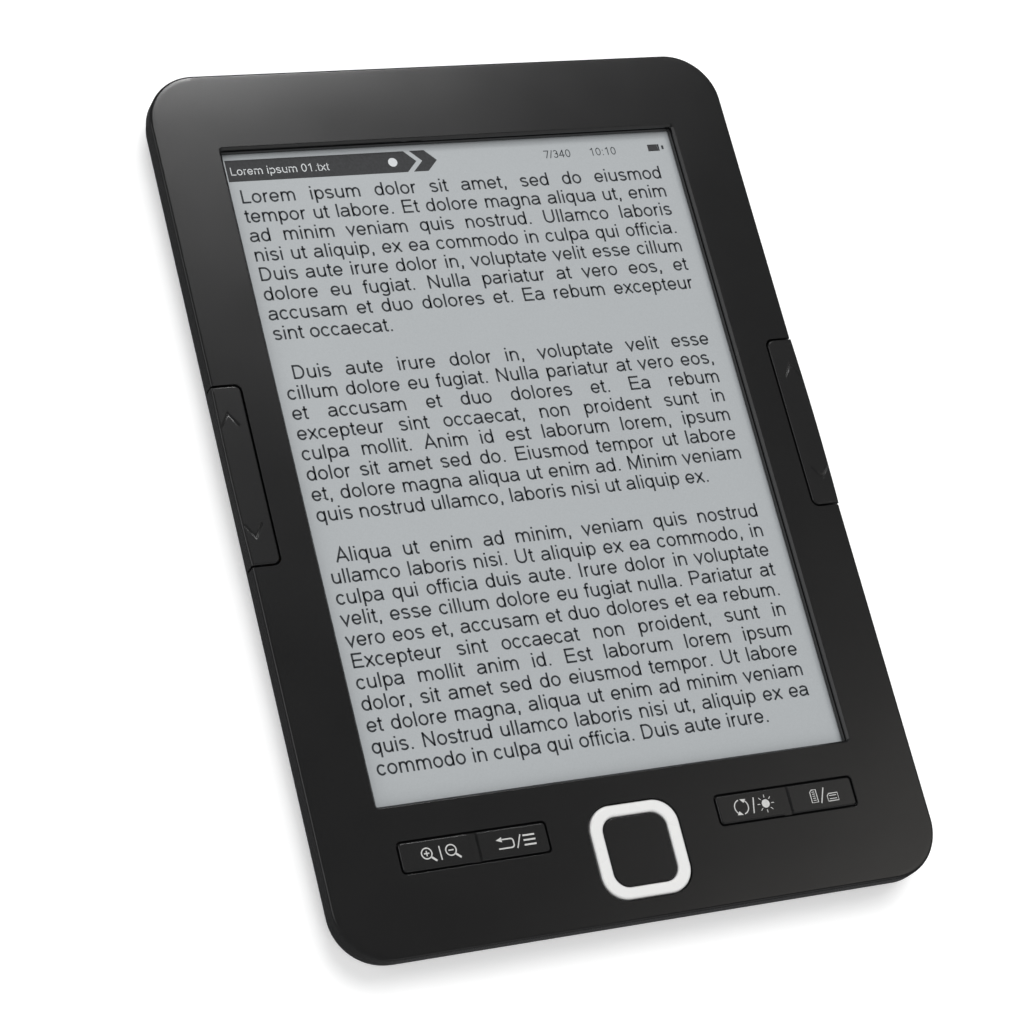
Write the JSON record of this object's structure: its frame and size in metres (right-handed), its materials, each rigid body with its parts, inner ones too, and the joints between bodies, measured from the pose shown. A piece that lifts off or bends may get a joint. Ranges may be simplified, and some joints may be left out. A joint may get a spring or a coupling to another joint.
{
  "type": "electronic book reader",
  "caption": "Electronic-paper book reader with a recessed page, page-turn rockers on both sides, function rockers, a navigation ring and a centre button.",
  "frame": {"origin": "centre of the outline, on the flat of the rear cover", "axes": "+X to the right across the page, +Y up the page, +Z out of the screen"},
  "size_m": [0.1178, 0.169, 0.0099],
  "materials": {
    "front_bezel": "satin",
    "rear_cover": "satin",
    "mid_frame": "cast, matt",
    "window_gasket": "matt foam",
    "display_backplane": "clear",
    "ink_film": "matt",
    "front_light_guide": "clear",
    "display_cover_film": "matt",
    "front_light_strip": "polyimide film",
    "display_driver_chip": "moulded",
    "display_flex": "polyimide film",
    "display_connector": "moulded",
    "main_board": "solder mask",
    "processor": "moulded",
    "memory_chip": "moulded",
    "storage_chip": "moulded",
    "power_chip": "moulded",
    "battery_cell": "foil pouch",
    "battery_adhesive": "matt foam",
    "battery_circuit": "solder mask",
    "battery_connector": "moulded",
    "battery_lead_red": "insulated wire",
    "battery_lead_black": "insulated wire",
    "usb_receptacle": "plated",
    "usb_tongue": "moulded",
    "card_slot": "plated",
    "power_switch": "plated",
    "power_button": "satin",
    "page_key_left": "satin",
    "page_key_right": "satin",
    "function_key_left": "satin",
    "function_key_right": "satin",
    "nav_ring": "satin",
    "nav_pad": "matt",
    "ok_button": "satin",
    "page_board_left": "solder mask",
    "page_board_right": "solder mask",
    "page_flex_left": "polyimide film",
    "page_flex_right": "polyimide film",
    "function_switch_left_a": "plated",
    "function_switch_left_b": "plated",
    "function_switch_right_a": "plated",
    "function_switch_right_b": "plated",
    "nav_switch_up": "plated",
    "nav_switch_down": "plated",
    "nav_switch_left": "plated",
    "nav_switch_right": "plated",
    "ok_switch": "plated",
    "page_switch_left_up": "plated",
    "page_switch_left_down": "plated",
    "page_switch_right_up": "plated",
    "page_switch_right_down": "plated",
    "frame_screw_upper_left": "plated",
    "frame_screw_upper_right": "plated",
    "frame_screw_middle_left": "plated",
    "frame_screw_middle_right": "plated",
    "frame_screw_lower_left": "plated",
    "frame_screw_lower_right": "plated",
    "board_screw_left": "plated",
    "board_screw_right": "plated"
  },
  "bodies": {
    "case": {"front_bezel": "front_bezel", "rear_cover": "rear_cover", "mid_frame": "mid_frame", "window_gasket": "window_gasket", "display_backplane": "display_backplane", "ink_film": "ink_film", "front_light_guide": "front_light_guide", "display_cover_film": "display_cover_film", "front_light_strip": "front_light_strip", "display_driver_chip": "display_driver_chip", "display_flex": "display_flex", "display_connector": "display_connector", "main_board": "main_board", "processor": "processor", "memory_chip": "memory_chip", "storage_chip": "storage_chip", "power_chip": "power_chip", "battery_cell": "battery_cell", "battery_adhesive": "battery_adhesive", "battery_circuit": "battery_circuit", "battery_connector": "battery_connector", "battery_lead_red": "battery_lead_red", "battery_lead_black": "battery_lead_black", "usb_receptacle": "usb_receptacle", "usb_tongue": "usb_tongue", "card_slot": "card_slot", "power_switch": "power_switch", "page_board_left": "page_board_left", "page_board_right": "page_board_right", "page_flex_left": "page_flex_left", "page_flex_right": "page_flex_right", "function_switch_left_a": "function_switch_left_a", "function_switch_left_b": "function_switch_left_b", "function_switch_right_a": "function_switch_right_a", "function_switch_right_b": "function_switch_right_b", "nav_switch_up": "nav_switch_up", "nav_switch_down": "nav_switch_down", "nav_switch_left": "nav_switch_left", "nav_switch_right": "nav_switch_right", "ok_switch": "ok_switch", "page_switch_left_up": "page_switch_left_up", "page_switch_left_down": "page_switch_left_down", "page_switch_right_up": "page_switch_right_up", "page_switch_right_down": "page_switch_right_down", "frame_screw_upper_left": "frame_screw_upper_left", "frame_screw_upper_right": "frame_screw_upper_right", "frame_screw_middle_left": "frame_screw_middle_left", "frame_screw_middle_right": "frame_screw_middle_right", "frame_screw_lower_left": "frame_screw_lower_left", "frame_screw_lower_right": "frame_screw_lower_right", "board_screw_left": "board_screw_left", "board_screw_right": "board_screw_right"},
    "page_key_left": {"page_key_left": "page_key_left"},
    "page_key_right": {"page_key_right": "page_key_right"},
    "function_key_left": {"function_key_left": "function_key_left"},
    "function_key_right": {"function_key_right": "function_key_right"},
    "nav_pad": {"nav_pad": "nav_pad"},
    "nav_ring": {"nav_ring": "nav_ring"},
    "ok_button": {"ok_button": "ok_button"},
    "power_button": {"power_button": "power_button"}
  },
  "joints": [
    {"name": "page_key_left_rock", "type": "hinge", "parent": "case", "child": "page_key_left", "pos_m": [-0.0566, 0.00503, 0.0062], "axis": [1, 0, 0], "range_deg": [-1, 1], "stiffness_Nm_per_rad": 1},
    {"name": "page_key_right_rock", "type": "hinge", "parent": "case", "child": "page_key_right", "pos_m": [0.0566, 0.00503, 0.0062], "axis": [1, 0, 0], "range_deg": [-1, 1], "stiffness_Nm_per_rad": 1},
    {"name": "function_key_left_rock", "type": "hinge", "parent": "case", "child": "function_key_left", "pos_m": [-0.0305, -0.0673, 0.0055], "axis": [0, 1, 0], "range_deg": [-1.2, 1.2], "stiffness_Nm_per_rad": 0.65},
    {"name": "function_key_right_rock", "type": "hinge", "parent": "case", "child": "function_key_right", "pos_m": [0.0305, -0.0673, 0.0055], "axis": [0, 1, 0], "range_deg": [-1.2, 1.2], "stiffness_Nm_per_rad": 0.65},
    {"name": "nav_up_down_tilt", "type": "hinge", "parent": "case", "child": "nav_pad", "pos_m": [0, -0.07202, 0.0059], "axis": [1, 0, 0], "range_deg": [-1.5, 1.5], "stiffness_Nm_per_rad": 0.4},
    {"name": "nav_left_right_tilt", "type": "hinge", "parent": "nav_pad", "child": "nav_ring", "pos_m": [0, -0.07202, 0.0065], "axis": [0, 1, 0], "range_deg": [-1.5, 1.5], "stiffness_Nm_per_rad": 0.4},
    {"name": "ok_press", "type": "slide", "parent": "case", "child": "ok_button", "axis": [0, 0, -1], "range_m": [0, 0.00025], "stiffness_N_per_m": 5000},
    {"name": "power_press", "type": "slide", "parent": "case", "child": "power_button", "axis": [0, 1, 0], "range_m": [0, 0.00025], "stiffness_N_per_m": 5000}
  ]
}
